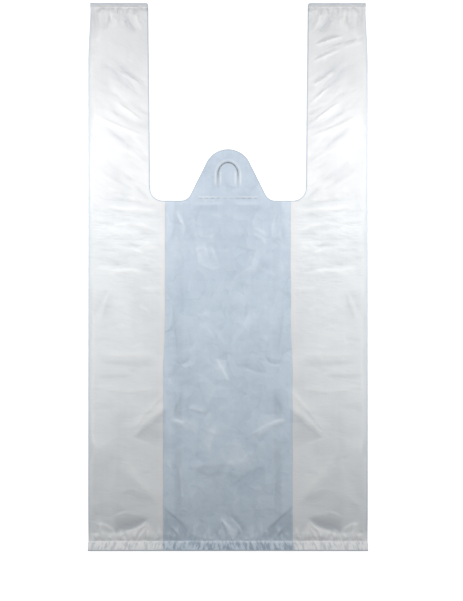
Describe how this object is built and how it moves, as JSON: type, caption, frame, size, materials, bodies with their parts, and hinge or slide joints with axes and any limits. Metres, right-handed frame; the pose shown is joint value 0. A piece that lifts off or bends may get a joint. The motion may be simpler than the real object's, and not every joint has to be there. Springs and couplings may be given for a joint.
{
  "type": "plastic carrier bag",
  "caption": "Flat vest-style carrier bag of thin milky film, with side gussets, two loop handles, a slit hanging tab and a welded bottom.",
  "frame": {"origin": "middle of the back panel's flat underside, at the centre of the bag's overall width and length", "axes": "+X across the bag, +Y along it from the welded bottom to the handles, +Z out of the front panel, which faces up as the bag lies flat"},
  "size_m": [0.28, 0.548, 0.0048],
  "materials": {
    "film": "thin milky polyethylene film with a soft sheen"
  },
  "bodies": {
    "root": {"carrier_bag": "film"}
  },
  "joints": []
}
